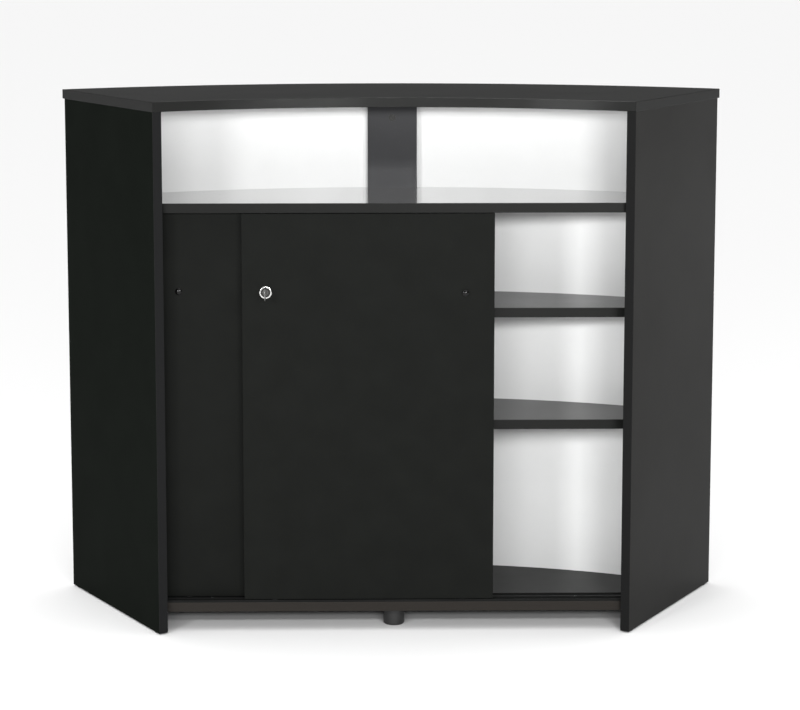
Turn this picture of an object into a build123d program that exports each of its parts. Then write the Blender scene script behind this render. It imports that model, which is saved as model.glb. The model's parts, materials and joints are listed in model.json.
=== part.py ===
from build123d import *
import os
from math import cos, sin, tan, radians

os.makedirs("parts", exist_ok=True)

# Curved bar counter cabinet, millimetres. Width runs along X, the service side faces -Y, the
# customer side faces +Y and the floor is Z = 0. The plan is a 60 degree slice of a ring whose
# axis stands at X = 0, Y = ring_axis_y; "depth" below always means the distance in +Y from it.
ring_axis_y = -1072.5
half_angle = 30
near_radius = 924
top_radius = 1355.5
panel_radius = 1345.5
height = 1048
board = 19
top_under = height - board
panel_foot = 3

# Shelves: height of each upper face, and depth of the front edge.
bottom_level = 59
lower_level = 413.5
middle_level = 637.5
upper_level = 851
carcass_front = 825.5
shelf_front = 878

# Curved facade sheet, in grooves of the side panels.
facade_axis = -60
facade_radius = 1175
sheet = 3
groove_inset = 13

# Centre post and the white strip that covers the joint of the two facade sheets behind it.
post_front = 1094.2
post_thickness = 16
post_width = 100
post_middle = post_front + post_thickness / 2
post_back = post_front + post_thickness
strip_width = 118

# Two sliding doors, one behind the other.
door_width = 490.5
door_thickness = 16
door_bottom = 63.5
door_top = 830.3
front_depth = 829.5
rear_depth = 853.5
front_middle = -50.25
rear_middle = -220.75
track_floor = 60
track_rim = 63
track_near = 827
track_far = 872
track_middle = 849.5
track_edge = 2
track_rib = 7
track_screw_spots = (-360, -180, 0, 180, 360)
wheel_radius = 11
wheel_width = 5
wheel_reach = 185
axle_radius = 2
housing_width = 40
housing_height = 28
guide_reach = 200
guide_radius = 5
guide_length = 18
guide_pin = 8
channel_width = 8

# Lock: flange, barrel behind it, turning plug, and how far each reaches into the door.
lock_x = -249.7
lock_z = 676.7
lock_flange = 12.5
lock_rim = 3
lock_barrel = 9
lock_length = 19.5
plug_radius = 6
plug_length = 12.9
plug_face = 2.6
bolt_bar = 4
key_slot = 7.2
strike_x = 12.5

# Knobs and the screws that hold them from behind.
knob_z = 675
knob_radius = 6.5
knob_disc = 2.5
knob_neck = 4.5
knob_dome = 12
knob_screw_radius = 1.45
front_knob_x = 138.6
front_knob_height = 7
rear_knob_x = -420
rear_knob_height = 3.5

# Fasteners: positions along each side panel, measured from the ring axis.
shelf_cam_spots = (1020, 1098)
dowel_spots = (1045, 1073)
top_cam_spots = (985, 1285)
glide_spots = (945, 1324)
screw_levels = (130, 420, 700, 950)
seam_reach = 12
post_dowel_spots = (-22, 22)

# Cam fittings and dowels: the bolt is screwed into one board and caught by the cam in the other.
cam_reach = 34
cam_radius = 7.5
cam_height = 12.4
cam_bore = 12.8
bolt_thread = 2.5
bolt_sunk = 11
bolt_stem = 31
bolt_head = 3.2
dowel_radius = 4
dowel_length = 30
dowel_sunk = 10
gap = 0.05

# Foot under the bottom panel and its threaded stud.
foot_depth = 880
foot_radius = 21
stud_radius = 4
stud_length = 34.8

sides = (("left", -1), ("right", 1))
levels = (bottom_level, lower_level, middle_level, upper_level)
slope = tan(radians(half_angle))
along_x, along_y = sin(radians(half_angle)), cos(radians(half_angle))


def save(part, name):
    part.label = name
    export_step(part, f"parts/{name}.step")


def level(z):
    # Horizontal plane at height z with its origin on the ring axis.
    return Plane((0, ring_axis_y, z))


def upright(x, depth, z, up=1):
    # Horizontal plane on a plan point, facing up or down.
    return Plane((x, ring_axis_y + depth, z), z_dir=(0, 0, up))


def facing(depth, x=0, z=0):
    # Vertical plane at a depth, seen from the service side: X to the right, Z up.
    return Plane((x, ring_axis_y + depth, z), x_dir=(1, 0, 0), z_dir=(0, -1, 0))


def radial(side, along, inward):
    # Plan point of a side panel: along its outer face, then inward across its thickness.
    return side * (along * along_x - inward * along_y), along * along_y + inward * along_x


def half_width(depth, inset):
    # Half the clear width at a depth, inset from the outer faces of the side panels.
    return depth * slope - inset / along_y


def joint(side, along, z):
    # Plane on the inner face of a side panel, normal towards the middle of the cabinet.
    x, depth = radial(side, along, board)
    return Plane(
        (x, ring_axis_y + depth, z),
        x_dir=(side * along_x, along_y, 0),
        z_dir=(-side * along_y, along_x, 0),
    )


def plumb(side, along, inward, z, up=1):
    # Horizontal plane on a point of a side panel.
    return upright(*radial(side, along, inward), z, up)


def rod(plane, radius, length, start=0):
    with BuildSketch(plane.offset(start)) as profile:
        Circle(radius)
    extrude(profile.sketch, amount=length)


def drill(plane, radius, length, start=0):
    with BuildSketch(plane.offset(start)) as profile:
        Circle(radius)
    extrude(profile.sketch, amount=length, mode=Mode.SUBTRACT)


def slab(points, bottom, top, mode=Mode.ADD):
    with BuildSketch(level(bottom)) as outline:
        Polygon(*points, align=None)
    extrude(outline.sketch, amount=top - bottom, mode=mode)


def block(plane, width, tall, length, mode=Mode.ADD):
    with BuildSketch(plane) as outline:
        Rectangle(width, tall)
    extrude(outline.sketch, amount=length, mode=mode)


def wedge(near, far, inset, middle=None):
    # Plan outline between the side panels; with a middle it is one half only.
    a, b = half_width(near, inset), half_width(far, inset)
    if middle is None:
        return [(-a, near), (a, near), (b, far), (-b, far)]
    return [(middle, near), (middle * a / abs(middle), near), (middle * b / abs(middle), far), (middle, far)]


def facade_band(inner, outer, outline, bottom, top, mode):
    with BuildSketch(level(bottom)) as band:
        with Locations((0, facade_axis)):
            Circle(outer)
            Circle(inner, mode=Mode.SUBTRACT)
        Polygon(*outline, align=None, mode=Mode.INTERSECT)
    extrude(band.sketch, amount=top - bottom, mode=mode)


def cross_slot(plane, reach=7, width=1.4, depth=2):
    for wide, tall in ((reach, width), (width, reach)):
        block(plane, wide, tall, -depth, Mode.SUBTRACT)


def shelf_cam_plane(side, along, z):
    # Underside of a shelf, centred on a cam, facing down.
    return plumb(side, along, board + cam_reach, z - board, -1)


def top_joint_planes():
    # Where the top is bolted down: over both side panels and over the centre post.
    planes = [plumb(s, t, board / 2, top_under, -1) for _, s in sides for t in top_cam_spots]
    return planes + [upright(0, post_middle, top_under, -1)]


def top_cam_faces():
    faces = [joint(s, t, top_under - cam_reach) for _, s in sides for t in top_cam_spots]
    return faces + [facing(post_front, 0, top_under - cam_reach)]


def cam_bolt(plane):
    rod(plane, bolt_thread, bolt_sunk, -bolt_sunk)
    rod(plane, bolt_head - 0.2, bolt_stem)
    rod(plane, bolt_head, bolt_head, bolt_stem)


def bolt_bore(plane):
    drill(plane, bolt_thread + gap, -bolt_sunk - 0.4)


def cam(face, bolt_plane):
    # Round cam with a cross slot, hollowed where it grips the head of its bolt.
    rod(face, cam_radius, -cam_height)
    drill(bolt_plane, bolt_head + 1.1, 18, cam_reach - 14)
    cross_slot(face)


def cam_pocket(face, bolt_plane):
    drill(face, cam_radius + gap, -cam_bore)
    drill(bolt_plane, bolt_head - 0.1, bolt_stem - 1)


def screw_planes(depth):
    return [facing(depth, x, z) for x in (-seam_reach, seam_reach) for z in screw_levels]


# Counter top: ring slice with gently rounded rims.
with BuildPart() as top:
    with BuildSketch(level(top_under)):
        Circle(top_radius)
        Circle(near_radius, mode=Mode.SUBTRACT)
        Polygon(*wedge(700, 1500, 0), align=None, mode=Mode.INTERSECT)
    extrude(amount=board)
    fillet(top.faces().sort_by(Axis.Z)[-1].edges(), 1)
    fillet(top.faces().sort_by(Axis.Z)[0].edges(), 0.6)
    for plane in top_joint_planes():
        bolt_bore(plane)
save(top.part, "top_panel")

# Side panels, each with a groove for the facade and the bores of its joints.
for name, side in sides:
    with BuildPart() as panel:
        corners = [radial(side, a, i) for a, i in
                   ((near_radius, 0), (panel_radius, 0), (panel_radius, board), (near_radius, board))]
        slab(corners, panel_foot, top_under - gap)
        fillet(panel.edges().filter_by(Axis.Z), 0.8)
        facade_band(facade_radius - 0.3, facade_radius + sheet + 0.3,
                    wedge(800, 1300, groove_inset - 0.6), panel_foot, top_under, Mode.SUBTRACT)
        for z in levels:
            for along in shelf_cam_spots:
                bolt_bore(joint(side, along, z - board / 2))
            for along in dowel_spots:
                drill(joint(side, along, z - board / 2), dowel_radius + gap, -dowel_sunk - 0.4)
        for along in top_cam_spots:
            face = joint(side, along, top_under - cam_reach)
            cam_pocket(face, plumb(side, along, board / 2, top_under, -1))
        for along in glide_spots:
            drill(plumb(side, along, board / 2, panel_foot), 1 + gap, 12.2)
    save(panel.part, f"{name}_side_panel")

# Four horizontal boards with a straight front edge and a curved back edge.
boards = (("bottom_panel", bottom_level, carcass_front), ("lower_shelf", lower_level, shelf_front),
          ("middle_shelf", middle_level, shelf_front), ("upper_shelf", upper_level, carcass_front))
for name, z, front in boards:
    with BuildPart() as shelf:
        with BuildSketch(level(z - board)):
            with Locations((0, facade_axis)):
                Circle(facade_radius - 0.5)
            Polygon(*wedge(front, 1200, board + gap), align=None, mode=Mode.INTERSECT)
        extrude(amount=board)
        fillet(shelf.faces().sort_by(Axis.Y)[0].edges().filter_by(Axis.X), 0.8)
        for _, side in sides:
            for along in shelf_cam_spots:
                cam_pocket(shelf_cam_plane(side, along, z), joint(side, along, z - board / 2))
            for along in dowel_spots:
                drill(joint(side, along, z - board / 2), dowel_radius + gap, dowel_length - dowel_sunk + 0.4)
        if name != "bottom_panel":
            # Notch that lets the post and the strip behind it pass through.
            for near, width in ((post_front, post_width), (post_back, strip_width)):
                block(upright(0, near + 14.7, z - board), width + 0.8, 30, board, Mode.SUBTRACT)
        if name == "upper_shelf":
            # Two grooves in the underside for the guide channels.
            for depth in (front_depth, rear_depth):
                groove = upright(0, depth + door_thickness / 2, z - board)
                block(groove, 1300, channel_width + 0.4, 9, Mode.SUBTRACT)
        if name == "bottom_panel":
            for x in post_dowel_spots:
                drill(upright(x, post_middle, z, -1), dowel_radius + gap, 12.2)
            drill(upright(0, foot_depth, z - board), stud_radius + gap, 15.3)
            for x in track_screw_spots:
                drill(upright(x, track_middle, z, -1), 1.5 + gap, 12.3)
    save(shelf.part, name)

# Centre post, from the bottom panel up to the top.
with BuildPart() as post:
    block(facing(post_front, 0, (bottom_level + top_under) / 2), post_width, top_under - bottom_level - 0.1,
          -post_thickness)
    fillet(post.faces().sort_by(Axis.Y)[0].edges().filter_by(Axis.Z), 0.8)
    cam_pocket(top_cam_faces()[-1], top_joint_planes()[-1])
    for x in post_dowel_spots:
        drill(upright(x, post_middle, bottom_level), dowel_radius + gap, 18.2)
    for plane in screw_planes(post_back):
        drill(plane, 2 + gap, 12)
save(post.part, "centre_post")

with BuildPart() as strip:
    block(facing(post_back + gap, 0, (bottom_level + top_under) / 2), strip_width,
          top_under - bottom_level - 0.2, -sheet)
    for plane in screw_planes(post_back):
        drill(plane, 2.2, -5)
save(strip.part, "facade_backing_strip")

# Two bent sheets that meet behind the post.
for name, side in sides:
    with BuildPart() as facade:
        facade_band(facade_radius, facade_radius + sheet, wedge(850, 1300, groove_inset, 0.4 * side),
                    12, top_under - 0.2, Mode.ADD)
        for z in screw_levels:
            drill(facing(facade_radius + facade_axis, seam_reach * side, z), 2.2, 20, -10)
    save(facade.part, f"facade_{name}")

# Pan-head screws driven from the customer side through sheet and strip into the post.
with BuildPart() as facade_screws:
    for plane in screw_planes(facade_radius + facade_axis + sheet):
        rod(plane, 2, 19)
        rod(plane, 4, -2)
        cross_slot(plane.offset(-2.0).rotated((180, 0, 0)))
save(facade_screws.part, "facade_screws")

# Shelf joints: cams in the undersides, bolts and dowels across each joint.
with BuildPart() as shelf_cams:
    for z in levels:
        for _, side in sides:
            for along in shelf_cam_spots:
                cam(shelf_cam_plane(side, along, z), joint(side, along, z - board / 2))
save(shelf_cams.part, "shelf_cams")

with BuildPart() as shelf_cam_bolts:
    for z in levels:
        for _, side in sides:
            for along in shelf_cam_spots:
                cam_bolt(joint(side, along, z - board / 2))
save(shelf_cam_bolts.part, "shelf_cam_bolts")

with BuildPart() as shelf_dowels:
    for z in levels:
        for _, side in sides:
            for along in dowel_spots:
                rod(joint(side, along, z - board / 2), dowel_radius, dowel_length, -dowel_sunk)
save(shelf_dowels.part, "shelf_dowels")

with BuildPart() as top_cams:
    for face, plane in zip(top_cam_faces(), top_joint_planes()):
        cam(face, plane)
save(top_cams.part, "top_cams")

with BuildPart() as top_cam_bolts:
    for plane in top_joint_planes():
        cam_bolt(plane)
save(top_cam_bolts.part, "top_cam_bolts")

with BuildPart() as post_dowels:
    for x in post_dowel_spots:
        rod(upright(x, post_middle, bottom_level), dowel_radius, dowel_length, -12)
save(post_dowels.part, "post_dowels")

# Nylon nail glides under the side panels.
with BuildPart() as panel_glides:
    for _, side in sides:
        for along in glide_spots:
            rod(plumb(side, along, board / 2, 0), 8.5, panel_foot)
            rod(plumb(side, along, board / 2, panel_foot), 1, 12)
    fillet(panel_glides.faces().filter_by(Axis.Z).group_by(Axis.Z)[0].edges(), 1.2)
save(panel_glides.part, "panel_glides")

# Round foot under the middle of the bottom panel, held by a threaded stud.
with BuildPart() as foot:
    rod(upright(0, foot_depth, 0), foot_radius, bottom_level - board)
    fillet(foot.faces().sort_by(Axis.Z)[0].edges(), 4)
    fillet(foot.faces().sort_by(Axis.Z)[-1].edges(), 1.5)
    drill(upright(0, foot_depth, 0), stud_radius + gap, 30, 20)
save(foot.part, "centre_foot")

with BuildPart() as stud:
    rod(upright(0, foot_depth, 0), stud_radius, stud_length, 20.2)
    chamfer(stud.faces().filter_by(Axis.Z).edges(), 0.6)
save(stud.part, "foot_stud")

# Double track on the bottom panel: floor, two rims and a middle rib.
with BuildPart() as track:
    ribs = ((track_near, track_near + track_edge),
            (track_middle - track_rib / 2, track_middle + track_rib / 2),
            (track_far - track_edge, track_far))
    slab(wedge(track_near, track_far, board + 0.3), bottom_level + 0.02, track_floor)
    for near, far in ribs:
        slab(wedge(near, far, board + 0.3), track_floor, track_rim)
    for x in track_screw_spots:
        head = upright(x, track_middle, track_rim, -1)
        drill(head, 3, 2)
        drill(head, 1.6, 6)
save(track.part, "bottom_track")

with BuildPart() as track_screws:
    for x in track_screw_spots:
        head = upright(x, track_middle, track_rim, -1)
        rod(head, 2.8, 1.3, 0.6)
        rod(head, 1.5, 13, 1.9)
        cross_slot(head.offset(0.6).rotated((180, 0, 0)))
save(track_screws.part, "track_screws")

# Guide channels let into the underside of the upper shelf, open downwards.
for name, depth in (("front", front_depth), ("rear", rear_depth)):
    with BuildPart() as channel:
        near = depth + (door_thickness - channel_width) / 2
        far = near + channel_width
        under = upper_level - board
        slab(wedge(near, far, board + 0.3), under, under + 8.8)
        slab(wedge(near + 1, far - 1, board - 5), under, under + 7.8, Mode.SUBTRACT)
    save(channel.part, f"{name}_top_channel")

# Sliding doors and what travels with them.
doors = (("front", front_middle, front_depth, front_knob_x, front_knob_height),
         ("rear", rear_middle, rear_depth, rear_knob_x, rear_knob_height))
for name, middle, depth, knob_x, knob_height in doors:
    centre_depth = depth + door_thickness / 2
    wheel_spots = (middle - wheel_reach, middle + wheel_reach)
    guide_spots = (middle - guide_reach, middle + guide_reach)
    wheel_z = track_floor + wheel_radius + gap
    housing_z = door_bottom + housing_height / 2

    with BuildPart() as door:
        block(facing(depth, middle, (door_bottom + door_top) / 2), door_width, door_top - door_bottom,
              -door_thickness)
        fillet(door.edges(), 0.8)
        for x in wheel_spots:
            pocket = facing(centre_depth + 5.1, x, housing_z)
            block(pocket, housing_width + 0.4, housing_height + 0.4, 10.2, Mode.SUBTRACT)
        for x in guide_spots:
            drill(upright(x, centre_depth, door_top, -1), guide_radius + gap, guide_length + 0.2)
        drill(facing(depth, knob_x, knob_z), knob_screw_radius + 0.5, -20)
        drill(facing(depth, knob_x, knob_z), 3.6, -4, 4 - door_thickness)
        if name == "front":
            drill(facing(depth, lock_x, lock_z), lock_barrel + 0.1, -20)
        else:
            drill(facing(depth, strike_x, lock_z), bolt_bar + 0.6, -12)
    save(door.part, f"{name}_door")

    with BuildPart() as housings:
        for x in wheel_spots:
            block(facing(centre_depth + 5, x, housing_z), housing_width, housing_height, 10)
            drill(facing(centre_depth + 3, x, wheel_z), wheel_radius + 1, 6)
            block(facing(centre_depth + 3, x, door_bottom), 2 * wheel_radius + 2, 15, 6, Mode.SUBTRACT)
            drill(facing(centre_depth + 6, x, wheel_z), axle_radius + 0.02, 12)
    save(housings.part, f"{name}_door_roller_housings")

    with BuildPart() as axles:
        for x in wheel_spots:
            rod(facing(centre_depth + 4.9, x, wheel_z), axle_radius, 9.8)
    save(axles.part, f"{name}_door_axles")

    for end, x in zip(("left", "right"), wheel_spots):
        with BuildPart() as wheel:
            rod(facing(centre_depth + wheel_width / 2, x, wheel_z), wheel_radius, wheel_width)
            fillet(wheel.edges(), 1)
            for recess in (wheel_width / 2, 0.8 - wheel_width / 2):
                with BuildSketch(facing(centre_depth + recess, x, wheel_z)):
                    Circle(8.5)
                    Circle(4, mode=Mode.SUBTRACT)
                extrude(amount=0.8, mode=Mode.SUBTRACT)
            drill(facing(centre_depth + 4, x, wheel_z), axle_radius + 0.06, 8)
        save(wheel.part, f"{name}_{end}_wheel")

    with BuildPart() as guides:
        for x in guide_spots:
            head = upright(x, centre_depth, door_top, -1)
            rod(head, guide_radius, guide_length)
            rod(head, guide_radius / 2, -guide_pin)
    save(guides.part, f"{name}_door_top_guides")

    with BuildPart() as knob:
        face = facing(depth, knob_x, knob_z)
        rod(face, knob_neck, knob_height - knob_disc)
        rod(face, knob_radius, knob_disc, knob_height - knob_disc)
        with Locations(face.offset(knob_height - knob_dome)):
            Sphere(knob_dome, mode=Mode.INTERSECT)
        drill(face, knob_screw_radius + gap, knob_height - 1.2)
    save(knob.part, f"{name}_door_knob")

    with BuildPart() as screw:
        back = facing(depth + door_thickness, knob_x, knob_z)
        rod(back, 3.3, 2.2, 1.6)
        rod(back, knob_screw_radius, door_thickness - 3.8 + knob_height - 1.6, 3.8)
        cross_slot(back.offset(1.6).rotated((180, 0, 0)))
    save(screw.part, f"{name}_knob_screw")

# Key lock of the front door: flanged body, nut behind, turning plug, bolt and key.
lock_face = facing(front_depth, lock_x, lock_z)
with BuildPart() as lock_body:
    rod(lock_face, lock_flange, lock_rim)
    fillet(lock_body.faces().sort_by(Axis.Y)[0].edges(), 1.6)
    rod(lock_face, lock_barrel, -lock_length)
    drill(lock_face, lock_barrel + 0.4, 1.4, lock_rim - 1.4)
    drill(lock_face, plug_radius + 0.06, -13.5, lock_rim)
    drill(lock_face, bolt_bar + 0.06, -10, -10)
save(lock_body.part, "lock_body")

with BuildPart() as lock_nut:
    with BuildSketch(facing(front_depth + door_thickness, lock_x, lock_z)):
        RegularPolygon(lock_flange, 6)
        Circle(lock_barrel + gap, mode=Mode.SUBTRACT)
    extrude(amount=-3.4)
save(lock_nut.part, "lock_nut")

with BuildPart() as lock_plug:
    rod(lock_face, plug_radius, -plug_length, plug_face)
    block(lock_face.offset(plug_face), 2.4, key_slot, -12, Mode.SUBTRACT)
save(lock_plug.part, "lock_plug")

with BuildPart() as lock_bolt:
    rod(lock_face, bolt_bar, -6, -10.9)
    chamfer(lock_bolt.faces().sort_by(Axis.Y)[-1].edges(), 0.6)
save(lock_bolt.part, "lock_bolt")

with BuildPart() as key:
    with BuildSketch(Plane((lock_x, ring_axis_y, lock_z), x_dir=(0, 1, 0), z_dir=(1, 0, 0))):
        with Locations((front_depth - 29, 0)):
            RectangleRounded(22, 26, 8)
        with Locations((front_depth - 15, 0)):
            Rectangle(9, 9)
        with Locations((front_depth - 2.4, 0)):
            Rectangle(22.8, key_slot - 0.8)
        with Locations((front_depth - 34, 0)):
            Circle(3, mode=Mode.SUBTRACT)
        for bite, cut in ((3, 1.6), (6, 1), (-0.5, 1.2)):
            with Locations((front_depth + bite, 0.4 - key_slot / 2)):
                Circle(cut, mode=Mode.SUBTRACT)
    extrude(amount=1, both=True)
save(key.part, "key")
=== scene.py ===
"""Looks of a curved bar counter cabinet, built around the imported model. Metres, row frame."""

import json
import math

import bpy
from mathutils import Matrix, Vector


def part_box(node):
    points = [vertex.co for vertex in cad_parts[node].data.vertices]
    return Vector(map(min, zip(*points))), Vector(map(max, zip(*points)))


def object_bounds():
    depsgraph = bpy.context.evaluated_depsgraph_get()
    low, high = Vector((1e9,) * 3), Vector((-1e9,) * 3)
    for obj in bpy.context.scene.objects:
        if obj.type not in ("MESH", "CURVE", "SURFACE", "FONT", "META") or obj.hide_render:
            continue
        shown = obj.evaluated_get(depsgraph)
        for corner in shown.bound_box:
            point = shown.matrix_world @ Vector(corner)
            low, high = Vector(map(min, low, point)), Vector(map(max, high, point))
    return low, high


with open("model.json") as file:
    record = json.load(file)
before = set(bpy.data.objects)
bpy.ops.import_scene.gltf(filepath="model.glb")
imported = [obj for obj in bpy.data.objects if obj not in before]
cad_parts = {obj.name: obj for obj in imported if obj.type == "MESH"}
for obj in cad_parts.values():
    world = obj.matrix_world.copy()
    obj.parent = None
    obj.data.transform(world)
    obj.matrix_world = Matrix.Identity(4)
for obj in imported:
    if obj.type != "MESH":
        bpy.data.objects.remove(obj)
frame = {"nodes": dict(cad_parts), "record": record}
nodes = frame["nodes"]
cad_low, cad_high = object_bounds()
HALF_ANGLE = math.radians(30)
UP, ACROSS = (0, 0, 1), (0, 1, 0)


# ---------------------------------------------------------------- shader helpers
def set_range(node, from_low, from_high, to_low, to_high):
    numbers = {"From Min": from_low, "From Max": from_high, "To Min": to_low, "To Max": to_high}
    for socket, number in numbers.items():
        node.inputs[socket].default_value = number


class Shader:
    """A node material with one Principled BSDF and short calls for the nodes it needs."""

    def __init__(self, name, base, roughness, metallic=0.0, specular=0.5, coat=0.0, coat_roughness=0.1):
        self.material = bpy.data.materials.new(name)
        self.material.use_nodes = True
        self.tree = self.material.node_tree
        self.shader = self.tree.nodes["Principled BSDF"]
        self.set(self.shader, "Base Color", (*base, 1.0))
        self.set(self.shader, "Roughness", roughness)
        self.set(self.shader, "Metallic", metallic)
        self.set(self.shader, "Specular IOR Level", specular)
        self.set(self.shader, "Coat Weight", coat)
        self.set(self.shader, "Coat Roughness", coat_roughness)
        self.place = self.node("TexCoord").outputs["Object"]

    def node(self, kind):
        return self.tree.nodes.new("ShaderNode" + kind)

    def set(self, node, socket, value):
        node.inputs[socket].default_value = value

    def link(self, output, node, socket):
        self.tree.links.new(output, node.inputs[socket])

    def stretched(self, scale):
        mapping = self.node("Mapping")
        self.set(mapping, "Scale", scale)
        self.link(self.place, mapping, "Vector")
        return mapping.outputs["Vector"]

    def noise(self, scale, detail=3.0, rough=0.5, stretch=(1, 1, 1)):
        node = self.node("TexNoise")
        self.set(node, "Scale", scale)
        self.set(node, "Detail", detail)
        self.set(node, "Roughness", rough)
        self.link(self.stretched(stretch), node, "Vector")
        return node.outputs["Fac"]

    def cells(self, scale):
        node = self.node("TexVoronoi")
        node.feature = "SMOOTH_F1"
        self.set(node, "Scale", scale)
        self.link(self.stretched((1, 1, 1)), node, "Vector")
        return node.outputs["Distance"]

    def spread(self, value, low_in, high_in, low_out=0.0, high_out=1.0):
        """Maps value from one range to another, and clamps it."""
        node = self.node("MapRange")
        set_range(node, low_in, high_in, low_out, high_out)
        self.link(value, node, "Value")
        return node.outputs["Result"]

    def soft(self, noise, low_out=0.0, high_out=1.0, low_in=0.35):
        """The middle of a noise's span, spread over the range asked for."""
        return self.spread(noise, low_in, 0.7, low_out, high_out)

    def blend(self, factor, first, second):
        """Colour blend of two tones, each a plain colour or another node's output."""
        node = self.node("Mix")
        node.data_type = "RGBA"
        self.link(factor, node, 0)
        for socket, colour in ((6, first), (7, second)):
            if isinstance(colour, tuple):
                self.set(node, socket, (*colour, 1.0))
            else:
                self.link(colour, node, socket)
        return node.outputs[2]

    def between(self, factor, first, second):
        """Number blend of an output with another output or a plain number."""
        node = self.node("Mix")
        node.data_type = "FLOAT"
        self.link(factor, node, 0)
        self.link(first, node, 2)
        if isinstance(second, float):
            self.set(node, 3, second)
        else:
            self.link(second, node, 3)
        return node.outputs[0]

    def math(self, operation, *values):
        node = self.node("Math")
        node.operation = operation
        for socket, value in enumerate(values):
            self.link(value, node, socket)
        return node.outputs[0]

    def vector_math(self, operation, vector, other=None):
        """Vector operation on an output, with a plain vector where it needs a second one."""
        node = self.node("VectorMath")
        node.operation = operation
        self.link(vector, node, 0)
        if other is not None:
            self.set(node, 1, other)
        return node.outputs

    def peak_at(self, value, middle, reach=0.35):
        """1 where a 0 to 1 value is at middle, falling to 0 on both sides."""
        rise = self.spread(value, middle - reach, middle)
        fall = self.spread(value, middle, middle + reach, 1.0, 0.0)
        return self.math("MINIMUM", rise, fall)

    def distance_to_axis(self, point, across):
        """Metres from the line through point that runs square to the two axes in across."""
        offset = self.vector_math("SUBTRACT", self.place, point)["Vector"]
        flat = self.vector_math("MULTIPLY", offset, across)["Vector"]
        return self.vector_math("LENGTH", flat)["Value"]

    def facing(self, direction, low=0.6, high=0.8):
        """1 where the surface faces along direction or against it, 0 where it is square to it."""
        normal = self.node("NewGeometry").outputs["Normal"]
        along = self.vector_math("DOT_PRODUCT", normal, direction)["Value"]
        return self.spread(self.math("ABSOLUTE", along), low, high)

    def colour(self, output):
        self.link(output, self.shader, "Base Color")

    def rough(self, output):
        self.link(output, self.shader, "Roughness")

    def bump(self, height, strength, distance):
        node = self.node("Bump")
        self.set(node, "Strength", strength)
        self.set(node, "Distance", distance)
        self.link(height, node, "Height")
        if self.shader.inputs["Normal"].is_linked:
            self.link(self.shader.inputs["Normal"].links[0].from_socket, node, "Normal")
        self.link(node.outputs["Normal"], self.shader, "Normal")


def toned(colour, share):
    """A darker or lighter tone of a colour."""
    return tuple(channel * share for channel in colour)


def side_normal(side):
    """Outward direction of the left (-1) or right (1) side panel."""
    return (side * math.cos(HALF_ANGLE), -math.sin(HALF_ANGLE), 0.0)


def box_centre(node_name):
    low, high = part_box(node_name)
    return (low + high) / 2


# ---------------------------------------------------------------- melamine boards
# Painted highlight colour for the rounded edge of each board.
PAINTED_EDGE_HIGHLIGHT = (0.1, 0.102, 0.1)
BLACK = (0.0065, 0.0069, 0.0062)
# Painted light: the side panels' front edge bands get lighter tones than the board's own band, standing
# in for light falling on them, the left more than the right.
LEFT_BAND_PAINTED_LIGHT = (0.012, 0.0121, 0.0124)
RIGHT_BAND_PAINTED_LIGHT = (0.0085, 0.0086, 0.0086)
# Painted light: a lighter brown tone for the bottom board's front edge band, standing in for light
# falling on it.
BOTTOM_BAND_PAINTED_LIGHT = (0.0193, 0.017, 0.0149)
CUT_END_ROUGHNESS = 0.6


def melamine(name, face_direction, base=BLACK, roughness=0.3, specular=0.17,
             coat=0.0, band_roughness=0.36, band_base=None):
    """Black melamine board: pearl-grained faces and a duller glued edge band, with a painted highlight
    line along the rounded edge between band and face.
    """
    s = Shader(name, base, roughness, specular=specular, coat=coat, coat_roughness=0.08)
    face = s.facing(face_direction)
    grain = s.cells(1100)
    pores = s.noise(520, 4, 0.65, (1, 1, 0.35))
    handling = s.noise(5.5, 5, 0.62)
    tone = s.blend(s.soft(s.noise(17)), toned(base, 0.94), toned(base, 1.08))
    tone = s.blend(s.spread(pores, 0.62, 0.72), tone, toned(base, 1.7))
    # Painted highlight: a pale line on the rounded edge where band meets face, standing in for light
    # catching the edge.
    band_tone = s.blend(s.peak_at(face, 0.5), band_base or toned(base, 0.7), PAINTED_EDGE_HIGHLIGHT)
    s.colour(s.blend(face, band_tone, tone))
    band_gloss = s.soft(handling, band_roughness - 0.04, band_roughness + 0.04)
    face_gloss = s.soft(handling, roughness - 0.02, roughness + 0.03, low_in=0.38)
    s.gloss = s.between(face, band_gloss, face_gloss)
    s.rough(s.gloss)
    s.link(s.spread(face, 0.0, 1.0, 0.0, coat), s.shader, "Coat Weight")
    s.bump(grain, 0.16, 0.0001)
    s.bump(pores, 0.12, 0.0001)
    return s


def counter_top(name):
    """The boards' melamine, glossy on its curved edges and dull on its two cut ends."""
    s = melamine(name, UP, roughness=0.2, specular=0.3, band_roughness=0.2)
    left_end, right_end = (s.facing(side_normal(side), 0.95, 0.98) for side in (-1, 1))
    s.rough(s.between(s.math("MAXIMUM", left_end, right_end), s.gloss, CUT_END_ROUGHNESS))
    return s


# ---------------------------------------------------------------- other materials
def white_sheet(name):
    """White lacquered hardboard: orange-peel lacquer over a fine fibre texture."""
    base = (0.77, 0.775, 0.772)
    s = Shader(name, base, 0.4, specular=0.4)
    peel = s.cells(520)
    fibre = s.noise(300, 5, 0.7, (1, 1, 0.5))
    marks = s.noise(7, 4, 0.55)
    tone = s.blend(s.soft(marks), base, toned(base, 0.965))
    s.colour(s.blend(s.spread(fibre, 0.6, 0.75), tone, toned(base, 0.93)))
    s.rough(s.soft(marks, 0.34, 0.46))
    s.bump(peel, 0.25, 0.0002)
    s.bump(fibre, 0.2, 0.00015)
    return s


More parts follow.
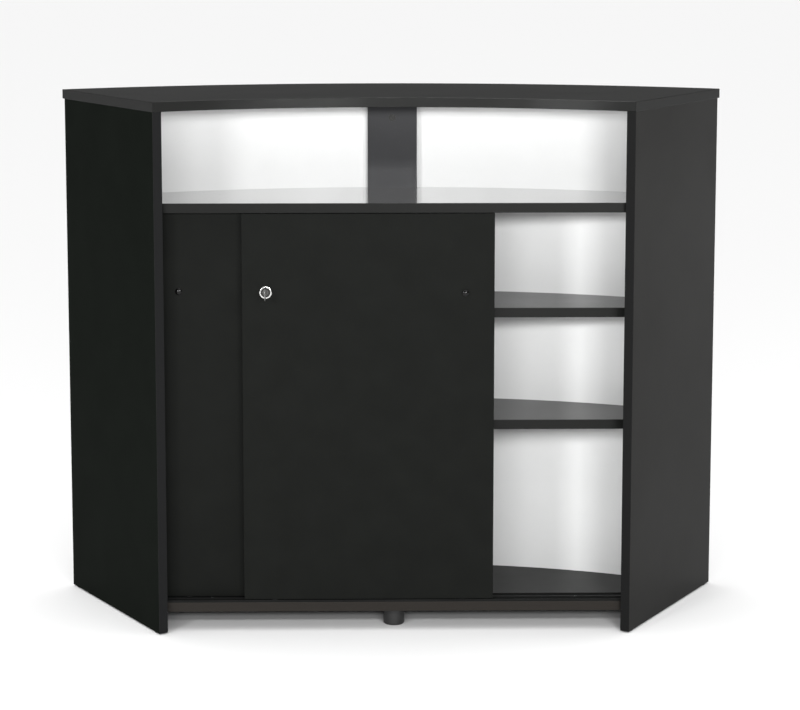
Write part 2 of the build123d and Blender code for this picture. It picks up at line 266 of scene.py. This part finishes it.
def plastic(name, base, roughness, grain_scale, specular=0.45):
    """Moulded or extruded plastic with a fine eroded texture and slightly uneven gloss."""
    s = Shader(name, base, roughness, specular=specular)
    grain = s.noise(grain_scale, 5, 0.7)
    flow = s.noise(38, stretch=(0.4, 1, 1))
    s.colour(s.blend(s.soft(flow), toned(base, 0.85), toned(base, 1.25)))
    s.rough(s.spread(grain, 0.3, 0.75, roughness - 0.08, roughness + 0.1))
    s.bump(grain, 0.35, 0.0001)
    return s


def metal(name, base, roughness, brush=(1, 1, 1), scale=600, depth=0.00004):
    """Plated or brushed metal with fine scratches and a slightly cloudy polish."""
    s = Shader(name, base, roughness, metallic=1.0)
    scratch = s.noise(scale, 6, 0.75, brush)
    haze = s.noise(90, 4, 0.6)
    s.colour(s.blend(s.soft(haze), base, toned(base, 0.86)))
    s.rough(s.soft(scratch, roughness - 0.06, roughness + 0.12))
    s.bump(scratch, 0.3, depth)
    return s


def cast_zinc(name, base=(0.46, 0.46, 0.47)):
    """Die-cast zinc: grey or blackened, grainy, with dull patches."""
    s = Shader(name, base, 0.48, metallic=1.0)
    grain = s.cells(1500)
    patch = s.noise(240, 5, 0.65)
    s.colour(s.blend(s.soft(patch), base, toned(base, 0.6)))
    s.rough(s.spread(patch, 0.3, 0.7, 0.38, 0.62))
    s.bump(grain, 0.4, 0.00012)
    return s


def beech(name):
    """Bare beech: pale wood with short dark flecks along the grain."""
    base = (0.56, 0.38, 0.22)
    s = Shader(name, base, 0.62, specular=0.3)
    flecks = s.noise(700, 4, 0.6, (0.12, 1, 1))
    rings = s.noise(120, stretch=(0.2, 1, 1))
    tone = s.blend(s.soft(rings), base, toned(base, 0.78))
    s.colour(s.blend(s.spread(flecks, 0.6, 0.72), tone, toned(base, 0.5)))
    s.bump(flecks, 0.4, 0.0001)
    return s


def pale_floor(name):
    s = Shader(name, (0.86, 0.86, 0.86), 0.7, specular=0.2)
    dust = s.noise(60, 4, 0.6)
    s.rough(s.spread(dust, 0.3, 0.7, 0.62, 0.8))
    return s


def knob_plastic(name, node_name):
    """Glossy black plastic knob, rounded off towards its rim."""
    base, radius = (0.002, 0.002, 0.002), 0.0065
    s = Shader(name, base, 0.1, specular=0.2)
    reach = s.distance_to_axis(box_centre(node_name), (1, 0, 1))
    grain = s.noise(1600, 5, 0.7)
    s.colour(s.blend(s.soft(grain), base, toned(base, 1.5)))
    s.rough(s.spread(grain, 0.3, 0.75, 0.06, 0.13))
    s.bump(s.spread(reach, radius * 0.72, radius, 1.0, 0.0), 0.5, 0.0008)
    s.bump(grain, 0.3, 0.00002)
    return s


def lock_metal(name):
    """Nickel-plated lock: bright polished rim, and a rougher dish inside it painted near-black as
    painted shade for the dark surroundings it reflects.
    """
    dish_radius, rim_radius = 0.0093, 0.0097
    s = Shader(name, (0.7, 0.7, 0.69), 0.2, metallic=1.0)
    reach = s.distance_to_axis(box_centre("lock_body"), (1, 0, 1))
    rim = s.spread(reach, dish_radius, rim_radius)
    haze = s.soft(s.noise(260, 4, 0.6))
    # Painted shade: the dish inside the rim is near-black, standing in for the dark surroundings the
    # plated face reflects.
    dish_painted_shade = s.blend(haze, (0.02, 0.02, 0.019), (0.055, 0.055, 0.053))
    rim_tone = s.blend(haze, (0.56, 0.56, 0.55), (0.44, 0.44, 0.43))
    s.colour(s.blend(rim, dish_painted_shade, rim_tone))
    scratch = s.noise(1200, 6, 0.75)
    s.rough(s.between(rim, s.soft(scratch, 0.34, 0.46), s.soft(scratch, 0.1, 0.22)))
    s.bump(scratch, 0.3, 0.00002)
    return s


SLOT_LOOKS = {
    "black_melamine": melamine("melamine_boards", UP, roughness=0.22, specular=0.14),
    "door_melamine": melamine("melamine_doors", ACROSS, (0.0071, 0.0076, 0.0069), 0.36, 0.03),
    "white_sheet": white_sheet("white_sheet"),
    "zinc_steel": metal("zinc_steel", (0.62, 0.63, 0.62), 0.3),
    "zinc_alloy": cast_zinc("zinc_alloy"),
    "beech": beech("beech"),
    "nylon": plastic("nylon", (0.03, 0.03, 0.03), 0.48, 900),
    "black_plastic": plastic("black_plastic", (0.014, 0.014, 0.014), 0.42, 700),
    "knob_plastic": knob_plastic("knob_plastic", "front_door_knob"),
    "lock_chrome": lock_metal("lock_chrome"),
    "key_steel": metal("key_steel", (0.13, 0.13, 0.127), 0.3, (0.15, 1, 1), 900),
}
NODE_LOOKS = {
    "top_panel": counter_top("melamine_top"),
    "upper_shelf": melamine("melamine_upper_shelf", UP, roughness=0.1, specular=0.12, coat=1.0),
    # Painted light: the centre post is the same black melamine, given a lighter bluish tone standing in
    # for the light on it.
    "centre_post": melamine("melamine_post", ACROSS, (0.023, 0.0234, 0.0255)),
    # Painted light: the bottom board's edge band takes the lighter brown band tone, standing in for
    # light falling on it.
    "bottom_panel": melamine("melamine_bottom", UP, roughness=0.35, specular=0.07,
                             band_roughness=0.4, band_base=BOTTOM_BAND_PAINTED_LIGHT),
    # Painted light and shade: the two side panels are one board colour, given a darker green-tinged left
    # tone and a browner right tone, with lighter band tones, for how light falls on each side.
    "left_side_panel": melamine("melamine_left", side_normal(-1), (0.005, 0.0064, 0.005), 0.42, 0.004,
                                band_base=LEFT_BAND_PAINTED_LIGHT),
    "right_side_panel": melamine("melamine_right", side_normal(1), (0.0068, 0.0066, 0.0058), 0.32, 0.038,
                                 band_base=RIGHT_BAND_PAINTED_LIGHT),
    "bottom_track": plastic("track_plastic", (0.006, 0.0062, 0.006), 0.55, 700, specular=0.08),
    "top_cams": cast_zinc("blackened_zinc", (0.035, 0.035, 0.034)),
    "rear_door_knob": knob_plastic("rear_knob_plastic", "rear_door_knob"),
    # Painted shade: the lock plug's metal is darkened, standing in for shade inside the lock.
    "lock_plug": metal("lock_plug_metal", (0.1, 0.1, 0.097), 0.24, scale=1200, depth=0.00002),
}


def dress_nodes():
    """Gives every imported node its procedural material."""
    for part in frame["record"]["subparts"]:
        name = part["node"]
        material = (NODE_LOOKS.get(name) or SLOT_LOOKS[part["material_slot"]]).material
        if not nodes[name].material_slots:
            nodes[name].data.materials.append(material)
        for slot in nodes[name].material_slots:
            slot.material = material


# ---------------------------------------------------------------- stage
def add_floor():
    bpy.ops.mesh.primitive_circle_add(vertices=96, radius=60, fill_type="NGON", location=(0, 0, 0))
    floor = bpy.context.object
    floor.name = "floor"
    floor.data.materials.append(pale_floor("pale_floor").material)


def add_area(name, location, width, height, power):
    """Area light at location, turned to the middle of the cabinet."""
    light = bpy.data.lights.new(name, "AREA")
    light.shape = "RECTANGLE"
    light.size, light.size_y = width, height
    light.energy = power
    holder = bpy.data.objects.new(name, light)
    holder.location = location
    middle = (cad_low + cad_high) / 2
    holder.rotation_euler = (middle - Vector(location)).to_track_quat("-Z", "Y").to_euler()
    holder.visible_camera = False
    bpy.context.scene.collection.objects.link(holder)


def add_lights():
    """Wide fill from the front, two small keys whose shadows fall on the white sheet, a faint rim."""
    add_area("front_fill", (0.1, -5.8, 1.9), 3.6, 0.5, 185)
    add_area("key_left", (-1.62, -2.75, 1.3), 0.5, 0.22, 31)
    add_area("key_right", (0.86, -2.75, 1.3), 0.6, 0.22, 25)
    add_area("rim_right", (3.4, 1.9, 0.7), 1.6, 1.4, 3)


def add_world():
    """Studio room: dim walls, and a bright soft ceiling that lights the floor evenly."""
    world = bpy.data.worlds.new("studio")
    world.use_nodes = True
    tree = world.node_tree
    background = tree.nodes["Background"]
    place = tree.nodes.new("ShaderNodeTexCoord")
    split = tree.nodes.new("ShaderNodeSeparateXYZ")
    tree.links.new(place.outputs["Generated"], split.inputs[0])
    rise = tree.nodes.new("ShaderNodeMapRange")
    rise.interpolation_type = "SMOOTHSTEP"
    wall_end, ceiling_start = 0.35, 0.95
    wall_strength, ceiling_strength = 0.09, 1.95
    set_range(rise, wall_end, ceiling_start, wall_strength, ceiling_strength)
    tree.links.new(split.outputs["Z"], rise.inputs["Value"])
    tree.links.new(rise.outputs["Result"], background.inputs["Strength"])
    background.inputs["Color"].default_value = (1.0, 1.0, 1.0, 1.0)
    bpy.context.scene.world = world


def add_camera():
    """4.6 m in front of the cabinet and 1.38 m above the floor, nearly square to the service side."""
    sideways, distance, height = -0.0723, 4.5553, 1.3798
    downward, turn = 7.905, 0.862
    data = bpy.data.cameras.new("camera")
    data.lens = 107.78
    data.sensor_width = 36.0
    data.shift_x, data.shift_y = 0.0092, -0.12
    camera = bpy.data.objects.new("camera", data)
    camera.location = (sideways, cad_low.y - distance, height)
    camera.rotation_euler = (math.radians(90 - downward), 0.0, math.radians(-turn))
    bpy.context.scene.collection.objects.link(camera)
    bpy.context.scene.camera = camera


dress_nodes()
add_floor()
add_lights()
add_world()
add_camera()
bpy.context.scene.view_settings.view_transform = "Standard"
